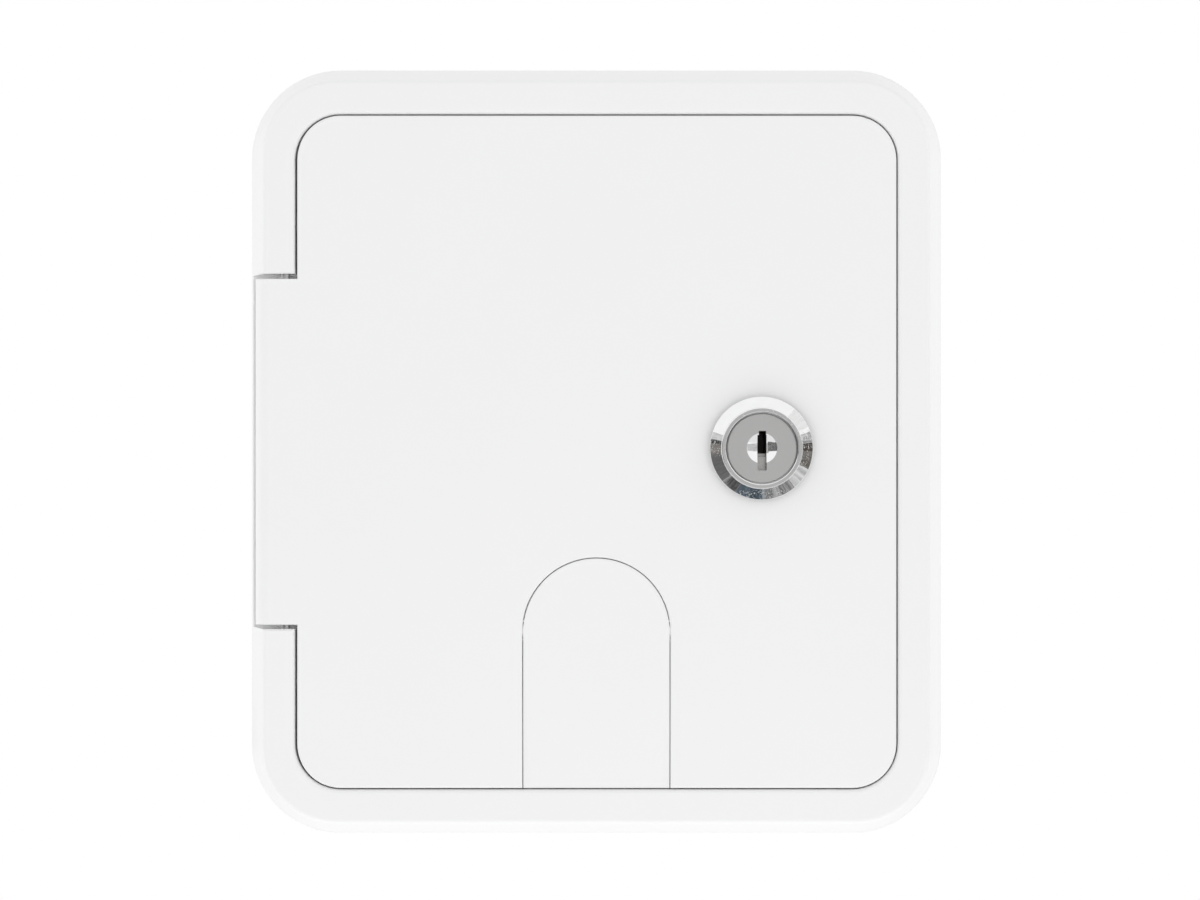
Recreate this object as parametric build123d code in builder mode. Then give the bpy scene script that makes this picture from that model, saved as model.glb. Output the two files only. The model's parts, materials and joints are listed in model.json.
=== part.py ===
from build123d import *
import math
import os

# Service hatch for a caravan wall, in millimetres.
# +X is to the right, +Z is up and the front faces -Y. The wall's outer skin is the plane y = 0.
# The origin is the centre of the door and of the wall screws, on the wall's skin.

# Door
door_width = 132.3
door_height = 148.3
door_corner_r = 9.6
door_gap = 0.5
door_skin = 2.5
skirt_reach = 3.5
skirt_wall = 2.0
door_edge_r = 0.5
door_rib_rise = 1.5
door_rib_wall = 1.4
door_rib_pitch = 26.0

# Frame
side_border = 10.85
end_border = 11.1
base_corner_r = 20.0
frame_depth = 14.0
lip_height = 1.5
side_lean = 3.75
front_edge_r = 1.0
opening_edge_r = 1.0
mould_wall = 2.2
frame_rib_wall = 1.6
frame_rib_pitch = 34.0
ledge_width = 9.2
ledge_thick = 3.0

# Sleeve through the wall, and the rim round its mouth
sleeve_wall = 2.0
sleeve_corner_r = 8.0
sleeve_reach = 25.0
seal_head = 3.0
rim_gap = 37.0

# Rubber seal that is pushed on the rim
seal_leg = 1.2
seal_foot_gap = 2.0
seal_fit = 0.05
seal_bulb_r = 1.7
seal_bore_r = 0.8
seal_bulb_sides = 12
seal_bore_sides = 6
seal_door_gap = 0.3
seal_end_gap = 0.5

# Wall screws
screw_hole_r = 1.9
screw_sink_r = 3.6
screw_span_side = 104.0
screw_span_end = 70.0

# Hinge
hinge_offset = 2.75
hinge_depth = 2.3
pin_r = 1.0
pin_length = 19.0
pin_frame_fit = 0.03
pin_run_fit = 0.05
knuckle_r = 3.0
knuckle_length = 9.2
hinge_boss_r = 3.2
hinge_boss_length = 10.5
tab_length = 76.4
tab_inset = 1.9
tab_bend_r = 3.3
tab_foot = 5.7
tab_end_wall = 1.8
tab_corner_r = 2.2
notch_gap = 1.1
notch_rise = 0.1
notch_clear = 0.9
notch_edge = 0.4
swing_clear = 0.25

# Cable flap
flap_half = 16.05
flap_gap = 0.3
flap_leg = 34.4
flap_edge_r = 0.3
flap_bevel_width = 1.4
flap_bevel_depth = 0.6
flap_back_gap = 0.2
flap_lap = 1.6
flap_lap_thick = 1.4
flap_lap_start = 2.2
flap_return_half = 14.4
flap_return_wall = 1.8
pivot_rise = 0.15
pivot_depth = 2.1
trunnion_r = 1.0
trunnion_length = 2.35
trunnion_fit = 0.05
trunnion_end_gap = 0.3
shoulder_r = 1.95
shoulder_fit = 0.05
shoulder_relief = 0.1
pivot_bar_half = 1.5
pivot_bar_rise = 1.1
bearing_r = 2.0
bearing_length = 4.0
bearing_slot_half = 0.9
rail_width = 3.6

# Lock
lock_inset = 29.75
lock_z = 0.8
bezel_r = 11.4
bezel_edge = 1.2
bezel_slope_rise = 1.7
bezel_bevel = 0.25
rim_outer_r = 8.95
lock_proud = 5.0
lock_body_r = 9.0
lock_flat_half = 8.0
lock_body_back = 1.0
lock_fit = 0.15
lock_rim_bevel = 0.2
gasket_r = 10.9
gasket_thick = 0.8
lock_boss_r = 15.0
lock_boss_rise = 2.5
tooth_washer_r = 11.6
tooth_washer_thick = 0.8
tooth_count = 12
nut_flats = 22.0
nut_thick = 4.0
nut_fit = 0.05

# Lock plug and its wafers
plug_r = 6.0
plug_fit = 0.05
plug_head_r = 7.75
plug_head_gap = 0.15
plug_head_length = 2.6
plug_recess = 0.8
plug_edge = 0.3
dish_r = 3.35
dish_depth = 0.7
keyway_width = 2.0
keyway_height = 7.8
keyway_drop = 1.0
keyway_neck_width = 1.6
keyway_neck_height = 0.9
keyway_neck_shift = 0.1
keyway_depth = 15.0
wafer_count = 5
wafer_pitch = 2.0
wafer_thick = 0.9
wafer_start = 3.4
wafer_half_width = 2.3
wafer_half_height = 5.0
wafer_fit = 0.05
wafer_window_half = 1.2
wafer_window_low = -1.9
wafer_window_high = 4.0
wafer_step = 0.35

# Cam and what holds it on the plug
clip_gap = 0.1
clip_thick = 0.6
clip_r = 7.2
clip_depth = 0.7
plug_shoulder = 1.0
tail_half = 3.5
tail_fit = 0.1
tail_short = 0.1
stop_washer_r = 7.2
stop_washer_thick = 1.0
stop_tooth_half = 1.5
stop_tooth_r = 8.7
stop_rim_r = 7.6
stop_rim_gap = 0.3
stop_rim_clear = 4.5
cam_thick = 2.0
cam_hub_r = 7.5
cam_half_width = 5.5
cam_end_gap = 1.5
keeper_reach = 5.5
keeper_half = 8.0
keeper_clear = 0.4
keeper_ramp = 1.6
spring_washer_r = 3.6
spring_washer_bore_r = 2.1
spring_washer_thick = 0.9
spring_washer_split = 0.6
cam_screw_r = 1.6
cam_screw_fit = 0.05
cam_screw_length = 6.0
cam_head_r = 3.5
cam_head_height = 2.4
cam_head_bevel = 0.8
cross_length = 3.6
cross_width = 0.8
cross_depth = 1.2

# Depths that follow
front_y = -frame_depth
skin_back_y = front_y + door_skin
skirt_y = skin_back_y + skirt_reach
ledge_y = -ledge_thick
rim_y = skin_back_y + seal_head
seal_foot_y = ledge_y - seal_foot_gap

# Outlines that follow
opening_width = door_width + 2 * door_gap
opening_height = door_height + 2 * door_gap
opening_corner_r = door_corner_r + door_gap
base_width = opening_width + 2 * side_border
base_height = opening_height + 2 * end_border
sleeve_width = opening_width - 2 * ledge_width
sleeve_height = opening_height - 2 * ledge_width
side_angle = math.degrees(math.atan2(side_lean, frame_depth - lip_height))

# Hinge places that follow
hinge_x = -(door_width / 2 + hinge_offset)
hinge_y = front_y + hinge_depth
tab_outer_x = -(base_width / 2 - tab_inset)
tab_foot_y = front_y + tab_foot
tab_sweep_r = math.hypot(tab_outer_x - hinge_x, tab_foot_y - hinge_y)
notch_floor_y = hinge_y + tab_sweep_r + notch_clear
notch_top_z = tab_length / 2 + notch_gap + notch_rise
notch_bottom_z = -tab_length / 2 - notch_gap + notch_rise
notch_ends = {1: notch_top_z, -1: notch_bottom_z}

# Flap places that follow
flap_bottom_z = -door_height / 2
arch_z = flap_bottom_z + flap_leg
arch_r = flap_half + flap_gap
pivot_y = front_y + pivot_depth
pivot_z = arch_z + pivot_rise
lap_front_y = skin_back_y + flap_back_gap
lap_back_y = lap_front_y + flap_lap_thick

# Lock places that follow, from the front to the back
lock_x = door_width / 2 - lock_inset
lock_front_y = front_y - lock_proud
bezel_back_y = front_y - gasket_thick
bezel_top_y = bezel_back_y - bezel_edge
slope_top_y = bezel_top_y - bezel_slope_rise
plug_face_y = lock_front_y + plug_recess
head_back_y = plug_face_y + plug_head_length
counterbore_y = head_back_y + plug_head_gap
boss_back_y = skin_back_y + lock_boss_rise
tooth_washer_back_y = boss_back_y + tooth_washer_thick
nut_back_y = tooth_washer_back_y + nut_thick
clip_front_y = lock_body_back + clip_gap
clip_back_y = clip_front_y + clip_thick
shoulder_y = lock_body_back + plug_shoulder
cam_front_y = shoulder_y + stop_washer_thick
cam_back_y = cam_front_y + cam_thick
washer_back_y = cam_back_y + spring_washer_thick
tail_end_y = cam_back_y - tail_short
sleeve_inner_x = sleeve_width / 2 - sleeve_wall
cam_reach = sleeve_inner_x - cam_end_gap - lock_x
keeper_back_y = cam_front_y - keeper_clear
keyway_foot_z = lock_z - keyway_drop - keyway_height / 2
neck_x = lock_x + keyway_neck_shift


def facing(y, x=0.0, z=0.0):
    """A plane that faces the viewer at depth y, whose own x and y run along X and Z."""
    return Plane((x, y, z), x_dir=(1, 0, 0), z_dir=(0, -1, 0))


def lock_plane(y):
    """A plane across the lock's axis at depth y."""
    return facing(y, lock_x, lock_z)


def box_between(x, y, z, mode=Mode.ADD):
    """A box from three pairs of limits."""
    centre = ((x[0] + x[1]) / 2, (y[0] + y[1]) / 2, (z[0] + z[1]) / 2)
    with Locations(centre):
        Box(abs(x[1] - x[0]), abs(y[1] - y[0]), abs(z[1] - z[0]), mode=mode)


def bar_along_z(x, y, z, radius, mode=Mode.ADD):
    """A round bar parallel to Z, from the first z to the second."""
    with Locations((x, y, (z[0] + z[1]) / 2)):
        Cylinder(radius, abs(z[1] - z[0]), mode=mode)


lock_axis = Axis((lock_x, 0, lock_z), (0, 1, 0))
lock_section = Plane((lock_x, 0, lock_z), x_dir=(1, 0, 0), z_dir=(0, 0, 1))

# The hollow of the frame's border, open at the wall, with its ribs, hinge bosses and notch left solid
with BuildPart() as border_hollow:
    with BuildSketch(facing(0)):
        RectangleRounded(
            base_width - 2 * mould_wall, base_height - 2 * mould_wall, base_corner_r - mould_wall
        )
    extrude(amount=frame_depth - mould_wall, taper=side_angle)
    with BuildSketch(facing(0)):
        RectangleRounded(
            opening_width + 2 * mould_wall,
            opening_height + 2 * mould_wall,
            opening_corner_r + mould_wall,
        )
    extrude(amount=frame_depth, mode=Mode.SUBTRACT)
    rib_columns = int(door_width / frame_rib_pitch)
    rib_rows = int(door_height / frame_rib_pitch)
    with GridLocations(frame_rib_pitch, 1, rib_columns, 1):
        Box(frame_rib_wall, 2 * frame_depth, 2 * base_height, mode=Mode.SUBTRACT)
    with Locations(*[(0, 0, (row - (rib_rows - 1) / 2) * frame_rib_pitch) for row in range(rib_rows)]):
        Box(2 * base_width, 2 * frame_depth, frame_rib_wall, mode=Mode.SUBTRACT)
    box_between(
        (-base_width, 0),
        (-2 * frame_depth, frame_depth),
        (notch_bottom_z - mould_wall, notch_top_z + mould_wall),
        Mode.SUBTRACT,
    )
    for side, end_z in notch_ends.items():
        bar_along_z(
            hinge_x, hinge_y, (end_z, end_z + side * hinge_boss_length), hinge_boss_r, Mode.SUBTRACT
        )

# Frame: sloping border, ledge for the wall screws, rim and sleeve
with BuildPart() as outer_frame:
    with BuildSketch(facing(0)):
        RectangleRounded(base_width, base_height, base_corner_r)
    extrude(amount=lip_height)
    with BuildSketch(facing(-lip_height)):
        RectangleRounded(base_width, base_height, base_corner_r)
    extrude(amount=frame_depth - lip_height, taper=side_angle)
    fillet(outer_frame.faces().sort_by(Axis.Y)[0].edges(), radius=front_edge_r)

    # Recess that the door lies in
    with BuildSketch(facing(ledge_y)):
        RectangleRounded(opening_width, opening_height, opening_corner_r)
    extrude(amount=frame_depth, mode=Mode.SUBTRACT)
    fillet(outer_frame.faces().sort_by(Axis.Y)[0].inner_wires()[0].edges(), radius=opening_edge_r)
    add(border_hollow.part, mode=Mode.SUBTRACT)

    # Notch for the door's hinge tab
    box_between(
        (-base_width, -opening_width / 2 + opening_edge_r),
        (front_y - frame_depth, notch_floor_y),
        (notch_bottom_z, notch_top_z),
        Mode.SUBTRACT,
    )
    with BuildSketch(Plane.YZ.offset(-opening_width / 2 + opening_edge_r)):
        with BuildLine():
            Polyline(
                (front_y - notch_edge, notch_bottom_z - 2 * notch_edge),
                (front_y + notch_edge, notch_bottom_z),
                (front_y + notch_edge, notch_top_z),
                (front_y - notch_edge, notch_top_z + 2 * notch_edge),
                close=True,
            )
        make_face()
    extrude(amount=-base_width, mode=Mode.SUBTRACT)

    # Rim and sleeve in one, then the clear way through them
    with BuildSketch(facing(sleeve_reach)):
        RectangleRounded(sleeve_width, sleeve_height, sleeve_corner_r)
    extrude(amount=sleeve_reach - rim_y)
    with BuildSketch(facing(sleeve_reach)):
        RectangleRounded(
            sleeve_width - 2 * sleeve_wall,
            sleeve_height - 2 * sleeve_wall,
            sleeve_corner_r - sleeve_wall,
        )
    extrude(amount=sleeve_reach - rim_y, mode=Mode.SUBTRACT)

    # Way for the cable through the lower rim
    box_between(
        (-rim_gap / 2, rim_gap / 2),
        (skin_back_y, ledge_y),
        (-sleeve_height / 2 - sleeve_wall, -sleeve_height / 2 + 2 * sleeve_wall),
        Mode.SUBTRACT,
    )

    # Keeper for the cam, with a ramp where the cam comes up to it
    with BuildSketch(Plane.XY.offset(lock_z - keeper_half)):
        with Locations((sleeve_inner_x, ledge_y)):
            Rectangle(keeper_reach, keeper_back_y - ledge_y, align=(Align.MAX, Align.MIN))
    extrude(amount=2 * keeper_half)
    keeper_edge = outer_frame.edges().filter_by(Axis.X).sort_by_distance(
        (sleeve_inner_x - keeper_reach / 2, keeper_back_y, lock_z - keeper_half)
    )[0]
    chamfer(keeper_edge, length=keeper_ramp)

    # Holes for the wall screws, countersunk
    side_screw_x = (opening_width - ledge_width) / 2 + seal_leg / 2
    end_screw_z = (opening_height - ledge_width) / 2 + seal_leg / 2
    screw_places = [(sx * side_screw_x, sz * screw_span_side / 2) for sx in (-1, 1) for sz in (-1, 1)]
    screw_places += [(sx * screw_span_end / 2, sz * end_screw_z) for sx in (-1, 1) for sz in (-1, 1)]
    with Locations(facing(ledge_y)):
        with Locations(*screw_places):
            CounterSinkHole(screw_hole_r, screw_sink_r, depth=ledge_thick)

    # Bores for the hinge pins
    for side, end_z in notch_ends.items():
        bar_along_z(
            hinge_x,
            hinge_y,
            (end_z - side, end_z + side * (hinge_boss_length + 1)),
            pin_r + pin_frame_fit,
            Mode.SUBTRACT,
        )

# Rubber seal with a hollow bulb, open where the cable leaves.
# The bulb's section has flats, which keeps the sweep light.
seal_x = (sleeve_width - sleeve_wall) / 2
seal_z = (sleeve_height - sleeve_wall) / 2
seal_start_x = rim_gap / 2 + seal_end_gap
bulb_y = skin_back_y + seal_door_gap + seal_bulb_r
with BuildPart() as door_seal:
    with BuildLine(facing(0)) as seal_route:
        FilletPolyline(
            (seal_start_x, -seal_z),
            (seal_x, -seal_z),
            (seal_x, seal_z),
            (-seal_x, seal_z),
            (-seal_x, -seal_z),
            (-seal_start_x, -seal_z),
            radius=sleeve_corner_r - sleeve_wall / 2,
        )
    seal_section_plane = Plane((seal_start_x, 0, -seal_z), x_dir=(0, 0, -1), z_dir=(1, 0, 0))
    seal_half = sleeve_wall / 2 + seal_fit + seal_leg
    with BuildSketch(seal_section_plane):
        with Locations((0, seal_foot_y)):
            Rectangle(2 * seal_half, seal_foot_y - bulb_y, align=(Align.CENTER, Align.MAX))
        with Locations((0, bulb_y)):
            RegularPolygon(seal_bulb_r, seal_bulb_sides)
            RegularPolygon(seal_bore_r, seal_bore_sides, mode=Mode.SUBTRACT)
        with Locations((0, rim_y - seal_fit)):
            Rectangle(
                sleeve_wall + 2 * seal_fit,
                ledge_y - rim_y,
                align=(Align.CENTER, Align.MIN),
                mode=Mode.SUBTRACT,
            )
    sweep(path=seal_route.wires()[0])

# Hinge pins, each half in the frame and half in the door
pins = {}
for side, pin_name in ((1, "hinge_pin_upper"), (-1, "hinge_pin_lower")):
    middle_z = (side * tab_length / 2 + notch_ends[side]) / 2
    with BuildPart() as hinge_pin:
        bar_along_z(
            hinge_x, hinge_y, (middle_z - pin_length / 2, middle_z + pin_length / 2), pin_r
        )
        chamfer(hinge_pin.edges().filter_by(GeomType.CIRCLE), length=pin_r / 5)
    pins[pin_name] = hinge_pin

# Hinge tab of the door, which wraps over the frame's border
with BuildPart() as hinge_tab:
    with BuildSketch(Plane.XY.offset(-tab_length / 2)) as tab_section:
        with BuildLine():
            Polyline(
                (-door_width / 2 + skirt_wall, front_y),
                (tab_outer_x, front_y),
                (tab_outer_x, tab_foot_y),
                (-door_width / 2 + skirt_wall, tab_foot_y),
                close=True,
            )
        make_face()
        fillet(tab_section.vertices().sort_by_distance((tab_outer_x, front_y))[0], radius=tab_bend_r)
    extrude(amount=tab_length)
    with BuildSketch(facing(tab_foot_y, tab_outer_x)):
        RectangleRounded(4 * tab_foot, tab_length, tab_corner_r)
        Rectangle(4 * tab_foot, tab_length, align=(Align.MIN, Align.CENTER))
    extrude(amount=2 * tab_foot, mode=Mode.INTERSECT)
    tab_hollow_half = tab_length / 2 - tab_end_wall
    box_between(
        (tab_outer_x + mould_wall, -door_width / 2),
        (skin_back_y, tab_foot_y + 1),
        (-tab_hollow_half, tab_hollow_half),
        Mode.SUBTRACT,
    )
    for side in (-1, 1):
        tab_end_z = side * tab_length / 2
        bar_along_z(hinge_x, hinge_y, (tab_end_z - side * knuckle_length, tab_end_z), knuckle_r)
        box_between(
            (hinge_x - knuckle_r, hinge_x + knuckle_r),
            (skin_back_y, hinge_y),
            (tab_end_z - side * knuckle_length, tab_end_z),
        )
    box_between(
        (tab_outer_x, -door_width / 2 + skirt_wall),
        (front_y - knuckle_r, front_y),
        (-tab_length, tab_length),
        Mode.SUBTRACT,
    )

# Door: skin, skirt, ribs, hinge tab, lock boss and the bearings of the flap
with BuildPart() as door_panel:
    with BuildSketch(facing(skin_back_y)):
        RectangleRounded(door_width, door_height, door_corner_r)
    extrude(amount=door_skin)
    with BuildSketch(facing(skin_back_y)):
        with Locations((0, arch_z)):
            Circle(arch_r)
            Rectangle(2 * arch_r, 2 * flap_leg, align=(Align.CENTER, Align.MAX))
    extrude(amount=door_skin, mode=Mode.SUBTRACT)
    fillet(door_panel.faces().sort_by(Axis.Y)[0].edges(), radius=door_edge_r)
    add(hinge_tab.part)

    # Skirt round the back, left out at the flap
    with BuildSketch(facing(skirt_y)):
        RectangleRounded(door_width, door_height, door_corner_r)
        RectangleRounded(
            door_width - 2 * skirt_wall,
            door_height - 2 * skirt_wall,
            door_corner_r - skirt_wall,
            mode=Mode.SUBTRACT,
        )
        with Locations((0, arch_z)):
            Rectangle(2 * arch_r, 2 * flap_leg, align=(Align.CENTER, Align.MAX), mode=Mode.SUBTRACT)
    extrude(amount=skirt_reach)

    # Ribs inside the seal's line, above the flap
    rib_reach_x = seal_x - 2 * seal_half
    rib_reach_z = seal_z - 2 * seal_half
    rib_low_z = arch_z + arch_r + 2 * rail_width
    rib_y = (skin_back_y, skin_back_y + door_rib_rise)
    for column in (-1, 0, 1):
        rib_x = column * door_rib_pitch - door_rib_pitch / 2
        rib_sides = (rib_x - door_rib_wall / 2, rib_x + door_rib_wall / 2)
        box_between(rib_sides, rib_y, (rib_low_z, rib_reach_z))
    for row in (0, 1, 2):
        rib_z = rib_low_z + row * door_rib_pitch
        box_between(
            (-rib_reach_x, rib_reach_x), rib_y, (rib_z - door_rib_wall / 2, rib_z + door_rib_wall / 2)
        )

    # Boss and hole for the lock, with two flats that keep it from turning
    with BuildSketch(lock_plane(boss_back_y)):
        Circle(lock_boss_r)
    extrude(amount=lock_boss_rise)
    with BuildSketch(lock_plane(boss_back_y)):
        Circle(lock_body_r + lock_fit)
        Rectangle(
            2 * (lock_flat_half + lock_fit), 2 * lock_boss_r, mode=Mode.INTERSECT
        )
    extrude(amount=frame_depth, mode=Mode.SUBTRACT)

    # Rails that the flap's lower half closes on, and its two clip bearings
    for side in (-1, 1):
        rail_inner_x = side * (arch_r - flap_lap)
        box_between(
            (rail_inner_x, rail_inner_x + side * rail_width),
            (skin_back_y, lap_back_y),
            (flap_bottom_z, pivot_z - flap_lap_start),
        )
        box_between(
            (rail_inner_x - side, side * arch_r),
            (skin_back_y - 1, lap_front_y),
            (flap_bottom_z - 1, pivot_z),
            Mode.SUBTRACT,
        )
        bearing_x = side * (arch_r + bearing_length / 2)
        with Locations(Location((bearing_x, pivot_y, pivot_z), (0, 90, 0))):
            Cylinder(bearing_r, bearing_length)
        bore_end_x = side * (flap_half + trunnion_length + trunnion_end_gap)
        bore_start_x = side * flap_half
        with Locations(Location(((bore_start_x + bore_end_x) / 2, pivot_y, pivot_z), (0, 90, 0))):
            Cylinder(trunnion_r + trunnion_fit, abs(bore_end_x - bore_start_x), mode=Mode.SUBTRACT)
        box_between(
            (bore_start_x, bore_end_x),
            (pivot_y, pivot_y + 2 * bearing_r),
            (pivot_z - bearing_slot_half, pivot_z + bearing_slot_half),
            Mode.SUBTRACT,
        )

    # Room for the flap's two shoulders where the arch starts to close in
    with Locations(Location((0, pivot_y, pivot_z), (0, 90, 0))):
        Cylinder(shoulder_r + shoulder_relief, 2 * arch_r, mode=Mode.SUBTRACT)

    # Relief for the frame's edge as the door swings, above and below the tab
    for side in (-1, 1):
        bar_along_z(
            hinge_x,
            hinge_y,
            (side * tab_length / 2, side * door_height),
            hinge_offset + swing_clear,
            Mode.SUBTRACT,
        )
    bar_along_z(hinge_x, hinge_y, (-tab_length, tab_length), pin_r + pin_run_fit, Mode.SUBTRACT)

# Cable flap: a see-saw on two trunnions
with BuildPart() as cable_flap:
    with BuildSketch(facing(skin_back_y)):
        with Locations((0, arch_z)):
            Circle(flap_half)
            Rectangle(2 * flap_half, flap_leg, align=(Align.CENTER, Align.MAX))
    extrude(amount=door_skin)
    fillet(
        cable_flap.faces().sort_by(Axis.Y)[0].edges().filter_by(GeomType.CIRCLE), radius=flap_edge_r
    )

    # Bevels that grow down both sides and run across the foot
    for side in (-1, 1):
        bevel = Plane(
            (side * flap_half, front_y, arch_z),
            z_dir=(
                side * flap_bevel_depth * flap_leg,
                -flap_bevel_width * flap_leg,
                -flap_bevel_width * flap_bevel_depth,
            ),
        )
        split(bisect_by=bevel, keep=Keep.BOTTOM)
    foot_bevel = Plane(
        (0, front_y, flap_bottom_z + flap_bevel_width),
        z_dir=(0, -flap_bevel_width, -flap_bevel_depth),
    )
    split(bisect_by=foot_bevel, keep=Keep.BOTTOM)

    # Upper lap behind the door, and the step that carries it
    lap_steps = (
        (lap_back_y, arch_r + flap_lap, flap_lap_thick),
        (lap_front_y, flap_half, flap_back_gap),
    )
    for lap_y, lap_r, lap_thick in lap_steps:
        with BuildSketch(facing(lap_y)):
            with Locations((0, arch_z)):
                Circle(lap_r)
            with Locations((0, pivot_z + flap_lap_start)):
                Rectangle(4 * arch_r, 2 * arch_r, align=(Align.CENTER, Align.MIN), mode=Mode.INTERSECT)
        extrude(amount=lap_thick)

    # Return at the foot, pivot bar and trunnions
    box_between(
        (-flap_return_half, flap_return_half),
        (skin_back_y, skirt_y),
        (flap_bottom_z, flap_bottom_z + flap_return_wall),
    )
    box_between(
        (-flap_half, flap_half),
        (skin_back_y, skin_back_y + pivot_bar_rise),
        (pivot_z - pivot_bar_half, pivot_z + pivot_bar_half),
    )
    with Locations(Location((0, pivot_y, pivot_z), (0, 90, 0))):
        Cylinder(trunnion_r, 2 * (flap_half + trunnion_length))
        Cylinder(shoulder_r, 2 * (arch_r - shoulder_fit))

# Lock housing: round bezel, threaded body with two flats, and a rim that stops the cam
with BuildPart() as lock_housing:
    with BuildSketch(lock_section) as housing_section:
        with BuildLine():
            Polyline(
                (plug_r + plug_fit, lock_body_back),
                (lock_body_r, lock_body_back),
                (lock_body_r, bezel_back_y),
                (bezel_r, bezel_back_y),
                (bezel_r, bezel_top_y),
                (rim_outer_r, slope_top_y),
                (rim_outer_r, lock_front_y),
                (plug_head_r + plug_head_gap, lock_front_y),
                (plug_head_r + plug_head_gap, counterbore_y),
                (plug_r + plug_fit, counterbore_y),
                close=True,
            )
        make_face()
        chamfer(housing_section.vertices().group_by(Axis.Y)[0], length=lock_rim_bevel)
        bezel_corner = housing_section.vertices().sort_by_distance((bezel_r, bezel_top_y))[0]
        chamfer(bezel_corner, length=bezel_bevel)
    revolve(axis=lock_axis)
    for side in (-1, 1):
        box_between(
            (lock_x + side * lock_flat_half, lock_x + side * bezel_r),
            (bezel_back_y, lock_body_back),
            (lock_z - bezel_r, lock_z + bezel_r),
            Mode.SUBTRACT,
        )
    tooth_angle = math.degrees(math.asin(stop_tooth_half / stop_rim_r)) + stop_rim_clear
    with BuildSketch(lock_plane(cam_front_y - stop_rim_gap)):
        with BuildLine():
            CenterArc((0, 0), lock_body_r, tooth_angle, 270 - 2 * tooth_angle)
            CenterArc((0, 0), stop_rim_r, tooth_angle, 270 - 2 * tooth_angle)
            for angle in (tooth_angle, 270 - tooth_angle):
                Line(
                    Vector(stop_rim_r, 0).rotate(Axis.Z, angle),
                    Vector(lock_body_r, 0).rotate(Axis.Z, angle),
                )
        make_face()
        Rectangle(2 * lock_flat_half, 2 * bezel_r, mode=Mode.INTERSECT)
    extrude(amount=cam_front_y - stop_rim_gap - lock_body_back)

with BuildPart() as lock_gasket:
    with BuildSketch(lock_plane(front_y)):
        Circle(gasket_r)
        Circle(lock_body_r + lock_fit, mode=Mode.SUBTRACT)
    extrude(amount=gasket_thick)

with BuildPart() as lock_tooth_washer:
    with BuildSketch(lock_plane(tooth_washer_back_y)):
        Circle(tooth_washer_r)
        with PolarLocations(tooth_washer_r, tooth_count):
            Rectangle(tooth_washer_thick, tooth_washer_thick, rotation=45, mode=Mode.SUBTRACT)
        Circle(lock_body_r + lock_fit, mode=Mode.SUBTRACT)
    extrude(amount=tooth_washer_thick)

with BuildPart() as lock_nut:
    with BuildSketch(lock_plane(nut_back_y)):
        RegularPolygon(nut_flats / 2, 6, major_radius=False)
        Circle(lock_body_r + nut_fit, mode=Mode.SUBTRACT)
    extrude(amount=nut_thick)

# Lock plug: head with a dished centre, keyway, wafer slots, clip groove and square tail
wafer_places = [
    (lock_x, plug_face_y + wafer_start + row * wafer_pitch, lock_z) for row in range(wafer_count)
]
with BuildPart() as lock_plug:
    with BuildSketch(lock_section):
        with BuildLine():
            Polyline(
                (0, plug_face_y),
                (plug_head_r - plug_edge, plug_face_y),
                (plug_head_r, plug_face_y + plug_edge),
                (plug_head_r, head_back_y),
                (plug_r, head_back_y),
                (plug_r, clip_front_y),
                (plug_r - clip_depth, clip_front_y),
                (plug_r - clip_depth, clip_back_y),
                (plug_r, clip_back_y),
                (plug_r, shoulder_y),
                (0, shoulder_y),
                close=True,
            )
        make_face()
    revolve(axis=lock_axis)
    dish_sphere_r = (dish_r**2 + dish_depth**2) / (2 * dish_depth)
    with Locations((lock_x, plug_face_y + dish_depth - dish_sphere_r, lock_z)):
        Sphere(dish_sphere_r, mode=Mode.SUBTRACT)
    with BuildSketch(lock_plane(tail_end_y)):
        Rectangle(2 * tail_half, 2 * tail_half)
    extrude(amount=tail_end_y - shoulder_y)
    box_between(
        (lock_x - keyway_width / 2, lock_x + keyway_width / 2),
        (plug_face_y - 1, plug_face_y + keyway_depth),
        (keyway_foot_z, keyway_foot_z + keyway_height),
        Mode.SUBTRACT,
    )
    box_between(
        (neck_x - keyway_neck_width / 2, neck_x + keyway_neck_width / 2),
        (plug_face_y - 1, plug_face_y + keyway_depth),
        (keyway_foot_z + keyway_height, keyway_foot_z + keyway_height + keyway_neck_height),
        Mode.SUBTRACT,
    )
    with Locations(*wafer_places):
        Box(
            2 * (wafer_half_width + wafer_fit),
            wafer_thick + 2 * wafer_fit,
            2 * (wafer_half_height + wafer_fit),
            mode=Mode.SUBTRACT,
        )
    with BuildSketch(lock_plane(tail_end_y)):
        Circle(cam_screw_r + cam_screw_fit)
    extrude(amount=cam_screw_length, mode=Mode.SUBTRACT)

# Brass wafers, each with its own window height
with BuildPart() as wafer_tumblers:
    with Locations(*wafer_places):
        Box(2 * wafer_half_width, wafer_thick, 2 * wafer_half_height)
    for row, (wafer_x, wafer_y, wafer_z) in enumerate(wafer_places):
        lift = wafer_step * (row * 2 % 3)
        box_between(
            (wafer_x - wafer_window_half, wafer_x + wafer_window_half),
            (wafer_y - wafer_thick, wafer_y + wafer_thick),
            (wafer_z + wafer_window_low + lift, wafer_z + wafer_window_high),
            Mode.SUBTRACT,
        )

with BuildPart() as plug_clip:
    with BuildSketch(lock_plane(clip_back_y)):
        Circle(clip_r)
        Circle(plug_r - clip_depth + clip_gap, mode=Mode.SUBTRACT)
        Rectangle(plug_r, 2 * clip_r, align=(Align.CENTER, Align.MAX), mode=Mode.SUBTRACT)
    extrude(amount=clip_thick)

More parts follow.
